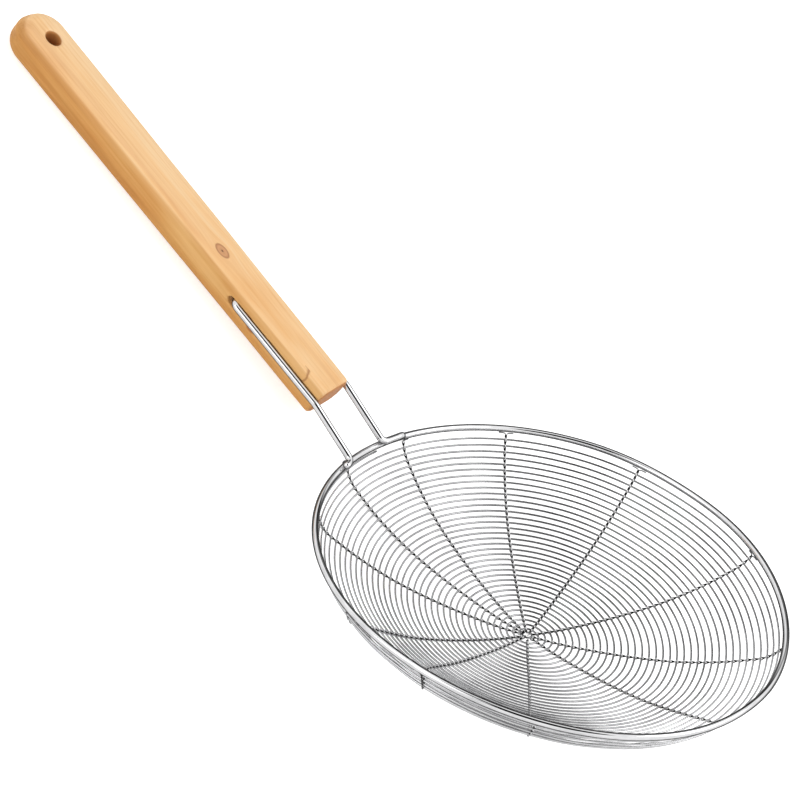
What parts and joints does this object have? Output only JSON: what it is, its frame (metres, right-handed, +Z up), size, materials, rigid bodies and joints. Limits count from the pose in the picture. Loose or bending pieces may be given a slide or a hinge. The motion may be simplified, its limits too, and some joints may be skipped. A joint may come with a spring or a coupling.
{
  "type": "spider skimmer",
  "caption": "Round kitchen skimmer: a shallow bowl of spiral wire on twisted ribs, a rod rim, and two rod legs let into a flat wooden handle with a hanging hole.",
  "frame": {"origin": "on the table, at the centre of the box around the part lying as it is put down", "axes": "+X from the handle's butt towards the bowl, +Z up from the table"},
  "size_m": [0.424, 0.205, 0.0963],
  "materials": {
    "handle_wood": "satin, oiled",
    "rod_steel": "polished",
    "mesh_steel": "bright drawn wire"
  },
  "bodies": {
    "root": {"handle": "handle_wood", "left_leg_rod": "rod_steel", "right_leg_rod": "rod_steel", "rim_ring": "rod_steel", "spiral_wire": "mesh_steel", "rib_01_upper_strand": "mesh_steel", "rib_01_lower_strand": "mesh_steel", "rib_02_upper_strand": "mesh_steel", "rib_02_lower_strand": "mesh_steel", "rib_03_upper_strand": "mesh_steel", "rib_03_lower_strand": "mesh_steel", "rib_04_upper_strand": "mesh_steel", "rib_04_lower_strand": "mesh_steel", "rib_05_upper_strand": "mesh_steel", "rib_05_lower_strand": "mesh_steel", "rib_06_upper_strand": "mesh_steel", "rib_06_lower_strand": "mesh_steel", "rib_07_upper_strand": "mesh_steel", "rib_07_lower_strand": "mesh_steel", "rib_08_upper_strand": "mesh_steel", "rib_08_lower_strand": "mesh_steel", "rib_09_upper_strand": "mesh_steel", "rib_09_lower_strand": "mesh_steel", "rib_10_upper_strand": "mesh_steel", "rib_10_lower_strand": "mesh_steel", "rib_11_upper_strand": "mesh_steel", "rib_11_lower_strand": "mesh_steel"}
  },
  "joints": []
}
